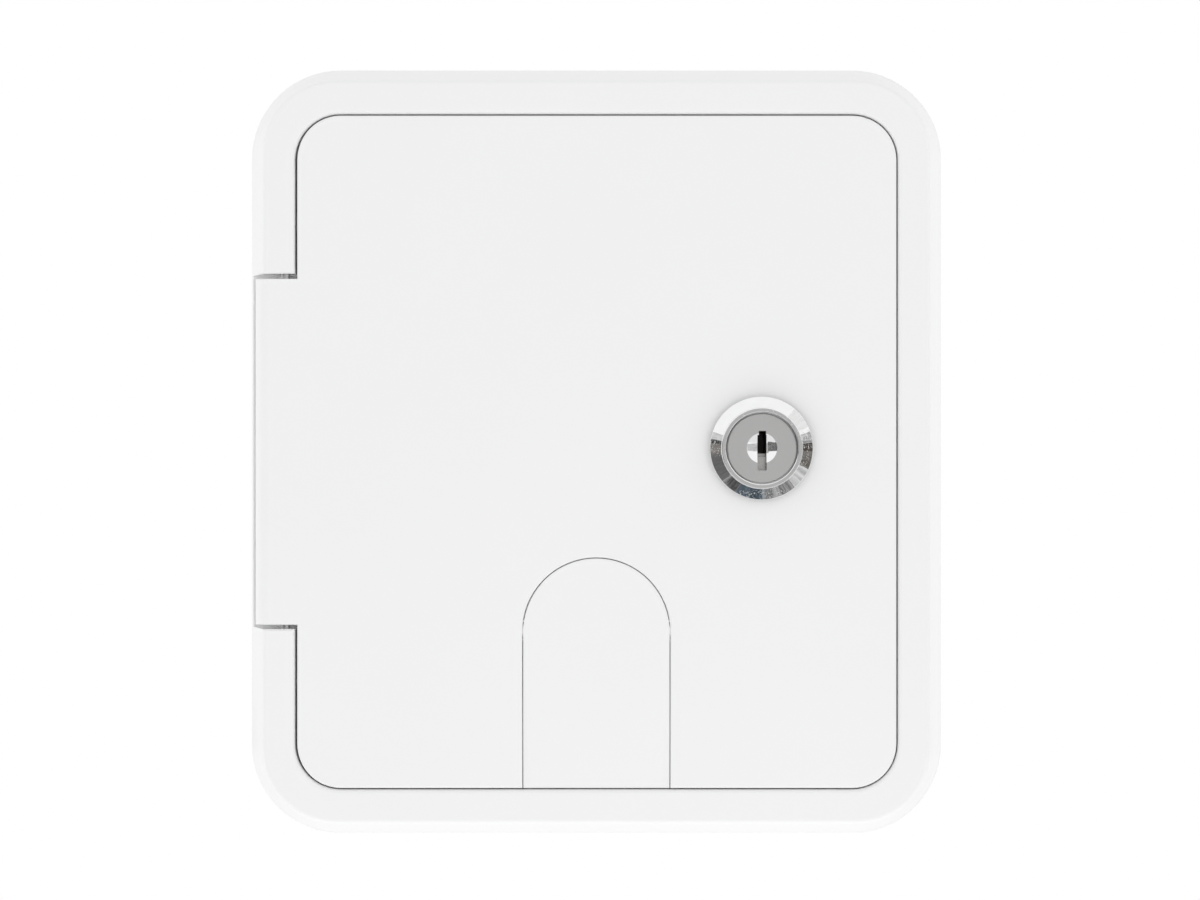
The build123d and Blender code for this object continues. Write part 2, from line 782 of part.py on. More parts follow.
# The tooth of this washer meets the housing's rim after a quarter turn
with BuildPart() as cam_stop_washer:
    with BuildSketch(lock_plane(cam_front_y)):
        Circle(stop_washer_r)
        Rectangle(2 * stop_tooth_half, stop_tooth_r, align=(Align.CENTER, Align.MAX))
        Rectangle(2 * (tail_half + tail_fit), 2 * (tail_half + tail_fit), mode=Mode.SUBTRACT)
    extrude(amount=stop_washer_thick)

# Cam, which hangs down when the hatch is unlocked
with BuildPart() as lock_cam:
    with BuildSketch(lock_plane(cam_back_y)):
        Circle(cam_hub_r)
        with Locations((0, -cam_reach + cam_half_width)):
            Circle(cam_half_width)
        Rectangle(2 * cam_half_width, cam_reach - cam_half_width, align=(Align.CENTER, Align.MAX))
        Rectangle(2 * (tail_half + tail_fit), 2 * (tail_half + tail_fit), mode=Mode.SUBTRACT)
    extrude(amount=cam_thick)

with BuildPart() as cam_spring_washer:
    with BuildSketch(lock_plane(washer_back_y)):
        Circle(spring_washer_r)
        Circle(spring_washer_bore_r, mode=Mode.SUBTRACT)
        Rectangle(
            spring_washer_split,
            2 * spring_washer_r,
            align=(Align.CENTER, Align.MIN),
            mode=Mode.SUBTRACT,
        )
    extrude(amount=spring_washer_thick)

with BuildPart() as cam_screw:
    with BuildSketch(lock_plane(washer_back_y)):
        Circle(cam_screw_r)
    extrude(amount=washer_back_y - tail_end_y + cam_screw_length - cam_screw_r)
    with BuildSketch(lock_plane(washer_back_y + cam_head_height)):
        Circle(cam_head_r)
    extrude(amount=cam_head_height)
    chamfer(cam_screw.faces().sort_by(Axis.Y)[-1].edges(), length=cam_head_bevel)
    with BuildSketch(lock_plane(washer_back_y + cam_head_height)):
        Rectangle(cross_length, cross_width)
        Rectangle(cross_width, cross_length)
    extrude(amount=cross_depth, mode=Mode.SUBTRACT)

pieces = {
    "outer_frame": outer_frame,
    "door_seal": door_seal,
    **pins,
    "door_panel": door_panel,
    "cable_flap": cable_flap,
    "lock_housing": lock_housing,
    "lock_gasket": lock_gasket,
    "lock_tooth_washer": lock_tooth_washer,
    "lock_nut": lock_nut,
    "lock_plug": lock_plug,
    "wafer_tumblers": wafer_tumblers,
    "plug_clip": plug_clip,
    "cam_stop_washer": cam_stop_washer,
    "lock_cam": lock_cam,
    "cam_spring_washer": cam_spring_washer,
    "cam_screw": cam_screw,
}
os.makedirs("parts", exist_ok=True)
for piece_name, piece in pieces.items():
    piece.part.label = piece_name
    export_step(piece.part, f"parts/{piece_name}.step")
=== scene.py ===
# %% [markdown]
# A service hatch, photographed square from the front
# The hatch is white moulded plastic with one chromed lock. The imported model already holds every
# piece at its real size, so this file gives each piece its finish, adds the small forms that a
# mould or a lathe leaves, and sets the light and the camera. All lengths are in metres.

# %% Load the frame
import json
import math

import bmesh
import bpy
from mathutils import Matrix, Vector


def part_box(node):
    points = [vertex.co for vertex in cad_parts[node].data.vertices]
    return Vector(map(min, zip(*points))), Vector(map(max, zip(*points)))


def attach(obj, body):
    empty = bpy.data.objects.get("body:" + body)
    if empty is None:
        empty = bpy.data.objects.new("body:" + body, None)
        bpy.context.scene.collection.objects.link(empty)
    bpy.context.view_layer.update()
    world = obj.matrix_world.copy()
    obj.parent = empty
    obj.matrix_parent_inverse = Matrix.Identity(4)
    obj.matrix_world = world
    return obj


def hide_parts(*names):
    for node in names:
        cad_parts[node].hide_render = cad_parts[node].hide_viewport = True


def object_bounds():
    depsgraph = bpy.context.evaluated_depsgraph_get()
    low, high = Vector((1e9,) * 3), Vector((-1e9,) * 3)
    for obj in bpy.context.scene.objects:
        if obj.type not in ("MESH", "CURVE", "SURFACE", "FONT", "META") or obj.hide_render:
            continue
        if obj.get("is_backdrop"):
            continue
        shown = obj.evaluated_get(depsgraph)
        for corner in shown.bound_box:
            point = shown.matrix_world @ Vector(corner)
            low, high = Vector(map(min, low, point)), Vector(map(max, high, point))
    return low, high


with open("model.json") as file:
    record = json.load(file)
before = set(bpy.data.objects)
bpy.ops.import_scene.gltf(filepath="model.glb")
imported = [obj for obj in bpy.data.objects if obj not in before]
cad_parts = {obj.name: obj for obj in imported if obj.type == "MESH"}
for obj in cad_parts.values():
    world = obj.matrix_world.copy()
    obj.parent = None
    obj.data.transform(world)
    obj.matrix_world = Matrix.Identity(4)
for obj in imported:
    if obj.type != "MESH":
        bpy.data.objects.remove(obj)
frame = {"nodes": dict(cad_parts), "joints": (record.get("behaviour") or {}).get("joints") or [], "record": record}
CAD_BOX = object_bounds()
SCENE = bpy.context.scene

# %% [markdown]
# The camera
# The photograph looks straight at the door, so no side of the frame runs off to a vanishing
# point, yet all four sloping borders show. A long lens about 0.7 m away does that. The frame's
# width in the photograph gives the distance, and the lens follows from the distance.

# %% Place the camera
MM = 0.001
FRONT_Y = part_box("outer_frame")[0].y
CAMERA_DISTANCE = 0.700
PHOTO_WIDTH_PX = 1200
FRONT_MM_PER_PX = 0.221
SENSOR_WIDTH = 36.0
CAMERA_X = 0.8 * MM
CAMERA_Z = 0.4 * MM

camera_data = bpy.data.cameras.new("camera")
camera_data.sensor_width = SENSOR_WIDTH
camera_data.lens = SENSOR_WIDTH * CAMERA_DISTANCE / (PHOTO_WIDTH_PX * FRONT_MM_PER_PX * MM)
camera_data.clip_start = 0.01
camera = bpy.data.objects.new("camera", camera_data)
camera.location = (CAMERA_X, FRONT_Y - CAMERA_DISTANCE, CAMERA_Z)
camera.rotation_euler = (math.radians(90), 0, 0)
SCENE.collection.objects.link(camera)
SCENE.camera = camera
SCENE.view_settings.view_transform = "Standard"
print(f"lens {camera_data.lens:.1f} mm, camera at {camera.location.y:.3f} m")

# %% [markdown]
# Node trees as plain Python
# A finish is easier to read as an expression than as a list of links. Field wraps one socket,
# and its operators add Math nodes. Graph holds a tree and makes any other node from its type,
# its settings and its inputs. Both serve shader trees and geometry trees.

# %% Field and Graph


class Field:
    """One output socket of a tree. Arithmetic on it adds Math nodes to that tree."""

    def __init__(self, graph, socket):
        self.graph = graph
        self.socket = socket

    def math(self, operation, *others):
        return self.graph.math(operation, self, *others)

    def __add__(self, other):
        return self.math("ADD", other)

    def __radd__(self, other):
        return self.math("ADD", other)

    def __sub__(self, other):
        return self.math("SUBTRACT", other)

    def __rsub__(self, other):
        return self.graph.math("SUBTRACT", other, self)

    def __mul__(self, other):
        return self.math("MULTIPLY", other)

    def __rmul__(self, other):
        return self.math("MULTIPLY", other)

    def __truediv__(self, other):
        return self.math("DIVIDE", other)

    def __rtruediv__(self, other):
        return self.graph.math("DIVIDE", other, self)

    def smooth(self, start, end):
        """0 below start, 1 above end, and smooth between them."""
        settings = {"interpolation_type": "SMOOTHSTEP"}
        sockets = {"Value": self, "From Min": start, "From Max": end}
        return self.graph.node("ShaderNodeMapRange", settings, sockets)

    def axes(self):
        """The three parts of a vector."""
        split = self.graph.node("ShaderNodeSeparateXYZ", sockets={"Vector": self})
        return [Field(self.graph, output) for output in split.socket.node.outputs]


class Graph:
    """A node tree under construction, with one method that makes any node."""

    def __init__(self, tree):
        self.tree = tree
        tree.nodes.clear()

    def node(self, kind, settings=None, sockets=None, output=0):
        made = self.tree.nodes.new(kind)
        for name, value in (settings or {}).items():
            setattr(made, name, value)
        for name, value in (sockets or {}).items():
            if isinstance(value, Field):
                self.tree.links.new(value.socket, made.inputs[name])
            else:
                made.inputs[name].default_value = value
        return Field(self, made.outputs[output]) if made.outputs else made

    def math(self, operation, *values):
        return self.node("ShaderNodeMath", {"operation": operation}, dict(enumerate(values)))


def grey(level, warmth=0.0):
    """A near-neutral linear colour, warmer with a positive warmth."""
    return (level + warmth, level, level - warmth, 1.0)


print("node helpers ready")

# %% Finish


class Finish(Graph):
    """A material's tree, with the few patterns that the finishes share."""

    def place(self):
        """Object coordinates, which are the hatch's own metres."""
        return self.node("ShaderNodeTexCoord", output="Object")

    def noise(self, scale, detail=2.0, roughness=0.5):
        sockets = {"Vector": self.place(), "Scale": scale, "Detail": detail, "Roughness": roughness}
        return self.node("ShaderNodeTexNoise", sockets=sockets)

    def blend(self, amount, first, second):
        """A colour that goes from the first to the second as amount goes from 0 to 1."""
        # A Mix node has a set of sockets for each data type, so its colours are found by number
        return self.node("ShaderNodeMix", {"data_type": "RGBA"}, {0: amount, 6: first, 7: second}, output=2)

    def bump(self, height, strength, distance):
        sockets = {"Height": height, "Strength": strength, "Distance": distance}
        return self.node("ShaderNodeBump", sockets=sockets)

    def surface(self, **sockets):
        """The Principled shader, wired to the output. Underscores stand for spaces."""
        named = {name.replace("_", " "): value for name, value in sockets.items()}
        shader = self.node("ShaderNodeBsdfPrincipled", sockets=named)
        self.node("ShaderNodeOutputMaterial", sockets={"Surface": shader})


def new_finish(name):
    material = bpy.data.materials.new(name)
    material.use_nodes = True
    return material, Finish(material.node_tree)


print("finish helpers ready")

# %% [markdown]
# White moulded plastic
# The frame, door and flap are one white plastic with a fine spark-eroded grain and a satin
# gloss. The grain is far smaller than a pixel here, so it is a bump, and the gloss varies a
# little from place to place as a moulded face does. The colour hardly varies at all.

# %% White plastic


def white_plastic():
    material, finish = new_finish("white_plastic")
    clouds = finish.noise(scale=28.0, detail=3.0)
    grain = finish.noise(scale=5200.0, detail=1.0)
    ripple = finish.noise(scale=110.0, detail=2.0)
    finish.surface(
        Base_Color=finish.blend(clouds, grey(0.888), grey(0.900, -0.001)),
        Roughness=0.30 + clouds * 0.06 + grain * 0.05,
        Normal=finish.bump(grain * 0.6 + ripple * 4.0, strength=0.10, distance=0.00002),
        IOR=1.5,
    )
    return material


PLASTIC = white_plastic()
print("made", PLASTIC.name)

# %% [markdown]
# Rubber
# The edge seal and the washer under the bezel are black rubber: nearly matt, with a dusty
# bloom that shows as slightly paler clouds.

# %% Black rubber


def black_rubber():
    material, finish = new_finish("black_rubber")
    bloom = finish.noise(scale=160.0, detail=4.0, roughness=0.65)
    skin = finish.noise(scale=3800.0, detail=2.0)
    finish.surface(
        Base_Color=finish.blend(bloom, grey(0.012), grey(0.030, 0.001)),
        Roughness=0.62 + bloom * 0.18,
        Normal=finish.bump(skin, strength=0.25, distance=0.00004),
    )
    return material


RUBBER = black_rubber()
print("made", RUBBER.name)

# %% [markdown]
# Chrome, satin nickel, zinc and nickel silver
# The bezel is bright chrome over a die casting, so it keeps a faint waviness and small pits.
# The plug's face is satin, but the dished lead-in round its keyway is polished, and inside the
# keyway the metal is painted dark and dull as shade, the shade deep in the narrow slot. Masks by
# the distance from the lock's axis and by depth tell these apart. The hidden steel is zinc plated,
# with the pale mottling of its passivation.

# %% Where the lock is
LOCK_JOINT = next(joint for joint in frame["joints"] if joint["name"] == "lock_turn")
LOCK_X, _, LOCK_Z = LOCK_JOINT["pos_m"]
HOUSING_LOW, HOUSING_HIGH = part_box("lock_housing")
PLUG_LOW, PLUG_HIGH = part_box("lock_plug")
BEZEL_R = (HOUSING_HIGH.x - HOUSING_LOW.x) / 2
LOCK_FRONT_Y = HOUSING_LOW.y
PLUG_HEAD_R = (PLUG_HIGH.x - PLUG_LOW.x) / 2
PLUG_FACE_Y = PLUG_LOW.y
DISH_R = 3.35 * MM
KEYWAY_LENGTH = 15.0 * MM
print(f"bezel radius {BEZEL_R / MM:.2f} mm, plug radius {PLUG_HEAD_R / MM:.2f} mm")

# %% Metals
DISH_EDGE = 0.08 * MM
KEYWAY_DARK = (0.68 * MM, 0.90 * MM)
KEYWAY_END = (15.2 * MM, 15.4 * MM)
KEYWAY_REACH = 4.9 * MM


def from_lock_axis(x, z):
    """Distance from the lock's axis, in metres."""
    across = x - LOCK_X
    up = z - LOCK_Z
    return (across * across + up * up).math("SQRT")


def chrome():
    material, finish = new_finish("chrome")
    pits = finish.noise(scale=2600.0, detail=3.0, roughness=0.7)
    waves = finish.noise(scale=420.0, detail=1.0)
    clusters = finish.noise(scale=130.0, detail=1.0).smooth(0.40, 0.55)
    finish.surface(
        Base_Color=finish.blend(waves, grey(0.86, -0.004), grey(0.92)),
        Metallic=1.0,
        Roughness=0.03 + pits.smooth(0.60, 0.75) * 0.20,
        Normal=finish.bump(waves * 1.5 + pits.smooth(0.56, 0.68) * clusters, strength=0.4, distance=0.00003),
    )
    return material


def satin_nickel():
    material, finish = new_finish("satin_nickel")
    x, y, z = finish.place().axes()
    radius = from_lock_axis(x, z)
    on_face = radius.smooth(DISH_R - DISH_EDGE, DISH_R + DISH_EDGE)
    depth = y - PLUG_FACE_Y
    in_keyway = depth.smooth(*KEYWAY_DARK) * (1.0 - depth.smooth(*KEYWAY_END))
    # Painted shade: inside the keyway the metal is coloured near black and made dull, standing in for the shade
    # deep in the slot
    keyway_painted_shade = in_keyway * (1.0 - radius.smooth(KEYWAY_REACH, KEYWAY_REACH + DISH_EDGE))
    mottle = finish.noise(scale=900.0, detail=4.0, roughness=0.6)
    metal = finish.blend(on_face, grey(0.90), grey(0.66, 0.004))
    finish.surface(
        Base_Color=finish.blend(keyway_painted_shade, metal, grey(0.10, 0.01)),
        Metallic=1.0 - keyway_painted_shade * 0.8,
        Roughness=0.05 + on_face * (0.30 + mottle * 0.10) + keyway_painted_shade * 0.3,
        Normal=finish.bump(mottle * on_face, strength=0.12, distance=0.00003),
    )
    return material


def zinc_plate():
    material, finish = new_finish("zinc_plate")
    clouds = finish.noise(scale=380.0, detail=5.0, roughness=0.62)
    scratches = finish.noise(scale=6000.0, detail=1.0)
    finish.surface(
        Base_Color=finish.blend(clouds, grey(0.48, -0.004), grey(0.66, 0.006)),
        Metallic=1.0,
        Roughness=0.26 + clouds * 0.22,
        Normal=finish.bump(scratches * 0.5 + clouds, strength=0.15, distance=0.00003),
    )
    return material


def nickel_silver():
    material, finish = new_finish("nickel_silver")
    tarnish = finish.noise(scale=1400.0, detail=3.0)
    finish.surface(
        Base_Color=finish.blend(tarnish, grey(0.56, 0.012), grey(0.74, 0.016)),
        Metallic=1.0,
        Roughness=0.20 + tarnish * 0.16,
    )
    return material


CHROME = chrome()
NICKEL = satin_nickel()
ZINC = zinc_plate()
NICKEL_SILVER = nickel_silver()
print("made", CHROME.name, NICKEL.name, ZINC.name, NICKEL_SILVER.name)

# %% [markdown]
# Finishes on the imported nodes
# Each node names a material slot in the record. One table turns the slot into a finish, so a
# node that is added to the model later is painted without a new line here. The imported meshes
# are loose triangles: Weld joins them, Edge Split keeps the real edges sharp, and Weighted
# Normal keeps the large flat faces flat while the small rounds between them shade smoothly.

# %% Paint the nodes
SLOT_FINISH = {
    "white_plastic": PLASTIC,
    "black_rubber": RUBBER,
    "chrome": CHROME,
    "satin_nickel": NICKEL,
    "plated_steel": ZINC,
    "nickel_silver": NICKEL_SILVER,
}
SHARP_ANGLE = math.radians(32)
WELD_DISTANCE = 0.001 * MM


def keep_flats_flat(piece):
    """Each corner takes its shading from its largest face, so only the small rounds bend light."""
    normals = piece.modifiers.new("normals", "WEIGHTED_NORMAL")
    normals.keep_sharp = True
    normals.weight = 100


def smooth_shade(piece):
    """Rounds shade smoothly, flats stay flat, and edges over the sharp angle stay crisp."""
    for face in piece.data.polygons:
        face.use_smooth = True
    weld = piece.modifiers.new("weld", "WELD")
    weld.merge_threshold = WELD_DISTANCE
    edges = piece.modifiers.new("edges", "EDGE_SPLIT")
    edges.split_angle = SHARP_ANGLE
    keep_flats_flat(piece)


for subpart in frame["record"]["subparts"]:
    node = frame["nodes"][subpart["node"]]
    node.data.materials.clear()
    node.data.materials.append(SLOT_FINISH[subpart["material_slot"]])
    smooth_shade(node)

# %% [markdown]
# The lock, turned smooth
# Bright metal shows every facet, so the lock's housing and plug are turned again here in fine
# steps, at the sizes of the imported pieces, and stand for them. An outline of radius against
# depth goes round the lock's axis, with its corners rounded first.

# %% Turned shapes
TURN_STEPS = 192
ARC_STEPS = 5
SAME_PLACE = 1e-7


def rounded(corners):
    """The closed outline through corners of (radius, depth, round), with its rounds as arcs."""
    outline = []
    for index, (radius, depth, size) in enumerate(corners):
        corner = Vector((radius, depth))
        before = (Vector(corners[index - 1][:2]) - corner).normalized()
        after = (Vector(corners[(index + 1) % len(corners)][:2]) - corner).normalized()
        if not size:
            outline.append(corner)
            continue
        half = before.angle(after) / 2
        centre = corner + (before + after).normalized() * size / math.sin(half)
        start = (corner + before * size / math.tan(half) - centre).normalized()
        end = (corner + after * size / math.tan(half) - centre).normalized()
        turns = [start.slerp(end, step / ARC_STEPS) for step in range(ARC_STEPS + 1)]
        outline += [centre + turn * size for turn in turns]
    return outline


def turned(outline, start=0.0, end=2 * math.pi):
    """A closed form from a closed outline, turned round the lock's axis from start to end."""
    form = bmesh.new()
    whole = end - start > 2 * math.pi - SAME_PLACE
    steps = TURN_STEPS if whole else TURN_STEPS + 1
    columns = []
    for step in range(steps):
        angle = start + (end - start) * step / TURN_STEPS
        across, up = math.cos(angle), math.sin(angle)
        places = [(LOCK_X + r * across, y, LOCK_Z + r * up) for r, y in outline]
        columns.append([form.verts.new(place) for place in places])
    pairs = list(zip(columns, columns[1:] + columns[:1]))
    for left, right in pairs if whole else pairs[:-1]:
        for low in range(len(outline)):
            form.faces.new((left[low - 1], left[low], right[low], right[low - 1]))
    if not whole:
        form.faces.new(columns[0])
        form.faces.new(reversed(columns[-1]))
    bmesh.ops.remove_doubles(form, verts=form.verts, dist=SAME_PLACE)
    bmesh.ops.recalc_face_normals(form, faces=form.faces)
    return form


def box_form(low, high):
    """A box between two corners."""
    form = bmesh.new()
    bmesh.ops.create_cube(form, size=1.0)
    size = high - low
    for vert in form.verts:
        vert.co = Vector(l + s * (c + 0.5) for l, s, c in zip(low, size, vert.co))
    return form


def joined(name, forms):
    """One mesh from several closed forms."""
    whole = bmesh.new()
    for form in forms:
        part = bpy.data.meshes.new(name)
        form.to_mesh(part)
        form.free()
        whole.from_mesh(part)
        bpy.data.meshes.remove(part)
    mesh = bpy.data.meshes.new(name)
    whole.to_mesh(mesh)
    whole.free()
    return mesh


def creased(mesh):
    """Smooth faces that meet in a sharp edge where they turn by more than the sharp angle."""
    form = bmesh.new()
    form.from_mesh(mesh)
    for face in form.faces:
        face.smooth = True
    for edge in form.edges:
        edge.smooth = len(edge.link_faces) == 2 and edge.calc_face_angle() < SHARP_ANGLE
    form.to_mesh(mesh)
    form.free()
    return mesh


def dressed(name, mesh, slot, body, stands_for=()):
    """A finished piece that rides on its body and stands for the named nodes."""
    piece = bpy.data.objects.new(name, creased(mesh))
    piece.data.materials.clear()
    piece.data.materials.append(SLOT_FINISH[slot])
    SCENE.collection.objects.link(piece)
    keep_flats_flat(piece)
    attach(piece, body)
    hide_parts(*stands_for)
    print(name, len(piece.data.polygons), "faces")
    return piece


print("turning helpers ready")

# %% Lock housing
BEZEL_BACK_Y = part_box("lock_gasket")[0].y
BODY_BACK_Y = 1.0 * MM
STOP_RIM_BACK_Y = HOUSING_HIGH.y
BEZEL_EDGE = 1.2 * MM
BEZEL_SLOPE = 1.7 * MM
RIM_R = 8.95 * MM
HEAD_GAP = 0.15 * MM
HEAD_LENGTH = 2.6 * MM
PLUG_R = 6.0 * MM
BORE_R = 6.05 * MM
THREAD_CREST_R = 8.98 * MM
THREAD_DEPTH = 0.42 * MM
FLAT_HALF = 8.0 * MM
STOP_RIM_R = 7.6 * MM
STOP_RIM_ANGLES = (math.radians(15.9), math.radians(254.1))
EMBED = 0.2 * MM
BACK_ROUND = 0.15 * MM
EDGE_ROUND = 0.30 * MM
INNER_ROUND = 0.10 * MM
RIM_ROUND = 0.22 * MM

root_r = THREAD_CREST_R - THREAD_DEPTH
bezel_top_y = BEZEL_BACK_Y - BEZEL_EDGE
head_bore_y = PLUG_FACE_Y + HEAD_LENGTH + HEAD_GAP
housing_form = turned(
    rounded(
        [
            (BORE_R, BODY_BACK_Y, 0),
            (root_r, BODY_BACK_Y, 0),
            (root_r, BEZEL_BACK_Y + EMBED, 0),
            (root_r, BEZEL_BACK_Y, 0),
            (BEZEL_R, BEZEL_BACK_Y, BACK_ROUND),
            (BEZEL_R, bezel_top_y, EDGE_ROUND),
            (RIM_R, bezel_top_y - BEZEL_SLOPE, INNER_ROUND),
            (RIM_R, LOCK_FRONT_Y, RIM_ROUND),
            (PLUG_HEAD_R + HEAD_GAP, LOCK_FRONT_Y, RIM_ROUND),
            (PLUG_HEAD_R + HEAD_GAP, head_bore_y, 0),
            (BORE_R, head_bore_y, 0),
        ]
    )
)
stop_rim_form = turned(
    rounded(
        [
            (STOP_RIM_R, BODY_BACK_Y - EMBED, 0),
            (THREAD_CREST_R, BODY_BACK_Y - EMBED, 0),
            (THREAD_CREST_R, STOP_RIM_BACK_Y, BACK_ROUND),
            (STOP_RIM_R, STOP_RIM_BACK_Y, BACK_ROUND),
        ]
    ),
    *STOP_RIM_ANGLES,
)
for form in (housing_form, stop_rim_form):
    for vert in form.verts:
        if vert.co.y > BEZEL_BACK_Y + SAME_PLACE:
            vert.co.x = min(max(vert.co.x, LOCK_X - FLAT_HALF), LOCK_X + FLAT_HALF)
dressed(
    "lock_housing_smooth",
    joined("lock_housing_smooth", [housing_form, stop_rim_form]),
    "chrome",
    "door",
    ["lock_housing"],
)

# %% Lock plug
DISH_DEPTH = 0.7 * MM
DISH_STEPS = 14
PLUG_EDGE = 0.3 * MM
CRISP_ROUND = 0.05 * MM
KEYWAY_HALF = 1.0 * MM
KEYWAY_FOOT_Z = LOCK_Z - KEYWAY_REACH
KEYWAY_TOP_Z = LOCK_Z + 2.9 * MM
NECK_TOP_Z = LOCK_Z + 3.8 * MM
NECK_HALF = 0.8 * MM
NECK_SHIFT = 0.1 * MM
CLIP_Y = (1.1 * MM, 1.7 * MM)
CLIP_R = 5.3 * MM
SHOULDER_Y = 2.0 * MM
TAIL_HALF = 3.5 * MM

dish_sphere_r = (DISH_R**2 + DISH_DEPTH**2) / (2 * DISH_DEPTH)
dish_centre_y = PLUG_FACE_Y + DISH_DEPTH - dish_sphere_r
dish_radii = [DISH_R * step / DISH_STEPS for step in range(DISH_STEPS)]
dish = [(r, dish_centre_y + math.sqrt(dish_sphere_r**2 - r**2), 0) for r in dish_radii]
head_back_y = PLUG_FACE_Y + HEAD_LENGTH
plug_form = turned(
    rounded(
        dish
        + [
            (DISH_R, PLUG_FACE_Y, CRISP_ROUND),
            (PLUG_HEAD_R - PLUG_EDGE, PLUG_FACE_Y, CRISP_ROUND),
            (PLUG_HEAD_R, PLUG_FACE_Y + PLUG_EDGE, CRISP_ROUND),
            (PLUG_HEAD_R, head_back_y, 0),
            (PLUG_R, head_back_y, 0),
            (PLUG_R, CLIP_Y[0], 0),
            (CLIP_R, CLIP_Y[0], 0),
            (CLIP_R, CLIP_Y[1], 0),
            (PLUG_R, CLIP_Y[1], 0),
            (PLUG_R, SHOULDER_Y, 0),
            (0, SHOULDER_Y, 0),
        ]
    )
)
tail_form = box_form(
    Vector((LOCK_X - TAIL_HALF, SHOULDER_Y - EMBED, LOCK_Z - TAIL_HALF)),
    Vector((LOCK_X + TAIL_HALF, PLUG_HIGH.y, LOCK_Z + TAIL_HALF)),
)
keyway_low_y = PLUG_FACE_Y - MM
keyway_high_y = PLUG_FACE_Y + KEYWAY_LENGTH
keyway_form = box_form(
    Vector((LOCK_X - KEYWAY_HALF, keyway_low_y, KEYWAY_FOOT_Z)),
    Vector((LOCK_X + KEYWAY_HALF, keyway_high_y, KEYWAY_TOP_Z)),
)
neck_form = box_form(
    Vector((LOCK_X + NECK_SHIFT - NECK_HALF, keyway_low_y, KEYWAY_TOP_Z - EMBED)),
    Vector((LOCK_X + NECK_SHIFT + NECK_HALF, keyway_high_y, NECK_TOP_Z)),
)


def cut(mesh, cutters):
    """The mesh less each cutter."""
    body = bpy.data.objects.new(mesh.name, mesh)
    SCENE.collection.objects.link(body)
    tools = []
    for cutter in cutters:
        tool = bpy.data.objects.new("cutter", joined("cutter", [cutter]))
        SCENE.collection.objects.link(tool)
        tools.append(tool)
        step = body.modifiers.new("cut", "BOOLEAN")
        step.object = tool
        step.solver = "EXACT"
    depsgraph = bpy.context.evaluated_depsgraph_get()
    result = bpy.data.meshes.new_from_object(body.evaluated_get(depsgraph))
    for left in (body, *tools):
        bpy.data.objects.remove(left)
    return result


plug_mesh = cut(joined("lock_plug_smooth", [plug_form]), [keyway_form, neck_form])
tail_mesh = joined("lock_plug_tail", [tail_form])
dressed("lock_plug_smooth", plug_mesh, "satin_nickel", "lock_cylinder", ["lock_plug"])
dressed("lock_plug_tail", tail_mesh, "plated_steel", "lock_cylinder")

# %% [markdown]
# Draft on the door and the flap
# A moulding leaves its mould because its walls lean by a degree or two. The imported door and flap
# have upright edges, so copies of them stand in here whose edges are fullest at the front and
# keep their place at the back. Only the edges change, by less than the gap they stand in, and
# their joint lines come out nearly as fine as in the photograph. The door's hinge side stays
# upright, so that it clears the frame as it swings.

# %% Outlines that the edges follow
DOOR_LOW, DOOR_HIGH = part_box("door_panel")
DOOR_FACE_Y = DOOR_LOW.y
DOOR_DEPTH = DOOR_HIGH.y - DOOR_FACE_Y
DOOR_CORNER_R = 9.6 * MM
FLAP_HALF = 16.05 * MM
FLAP_LEG = 34.4 * MM
FLAP_ARCH_Z = DOOR_LOW.z + FLAP_LEG


def door_outline(x, z):
    """How far a place lies outside the door's outline, and the way out there.

    The hinge side has no way out to the left: its edge swings close past the frame.
    """
    half_x, half_z = DOOR_HIGH.x - DOOR_CORNER_R, DOOR_HIGH.z - DOOR_CORNER_R
    core = Vector((min(max(x, -half_x), half_x), min(max(z, -half_z), half_z)))
    away = Vector((x, z)) - core
    way_out = away.normalized()
    return away.length - DOOR_CORNER_R, Vector((max(way_out.x, 0.0), way_out.y))


def flap_outline(x, z):
    """The same for the flap's arch and its two legs."""
    away = Vector((x, max(z - FLAP_ARCH_Z, 0.0)))
    return away.length - FLAP_HALF, away.normalized()


print(f"door {DOOR_DEPTH / MM:.1f} mm deep")

# %% Drafted copies
DOOR_EDGE_R = 0.5 * MM
DOOR_DRAFT = 0.22 * MM
FLAP_EDGE_R = 0.3 * MM
FLAP_DRAFT = 0.16 * MM
FLAP_SKIN = 2.2 * MM


def drafted(name, node_name, body, edges):
    """A copy of a node, fuller at its edges. An edge is an outline, a round, a draft and a depth."""
    form = bmesh.new()
    form.from_mesh(frame["nodes"][node_name].data)
    bmesh.ops.remove_doubles(form, verts=form.verts, dist=WELD_DISTANCE)
    moved = 0
    for vert in form.verts:
        x, y, z = vert.co
        behind = y - DOOR_FACE_Y
        for outline, edge_r, draft, depth in edges:
            outside, way_out = outline(x, z)
            if -edge_r < outside < WELD_DISTANCE and behind < depth:
                growth = draft * (1 + outside / edge_r) * (1 - behind / depth)
                vert.co += Vector((way_out.x, 0.0, way_out.y)) * growth
                moved += 1
    mesh = bpy.data.meshes.new(name)
    form.to_mesh(mesh)
    form.free()
    print(moved, "corners of", node_name, "moved")
    return dressed(name, mesh, "white_plastic", body, [node_name])


door_foot_edge = (door_outline, FLAP_EDGE_R, DOOR_DRAFT, DOOR_DEPTH)
flap_edge = (flap_outline, FLAP_EDGE_R, FLAP_DRAFT, FLAP_SKIN)
door_edge = (door_outline, DOOR_EDGE_R, DOOR_DRAFT, DOOR_DEPTH)
drafted("door_drafted", "door_panel", "door", [door_edge])
drafted("flap_drafted", "cable_flap", "cable_flap", [door_foot_edge, flap_edge])

# %% [markdown]
# Thread and pin marks by Geometry Nodes
# The lock body's thread follows a spiral, and the round marks that a mould's ejector pins leave
# on the door's back repeat one disc. Each is a small node tree with named sizes. The result is
# turned into a plain mesh, which keeps no modifier.

# %% Grown meshes


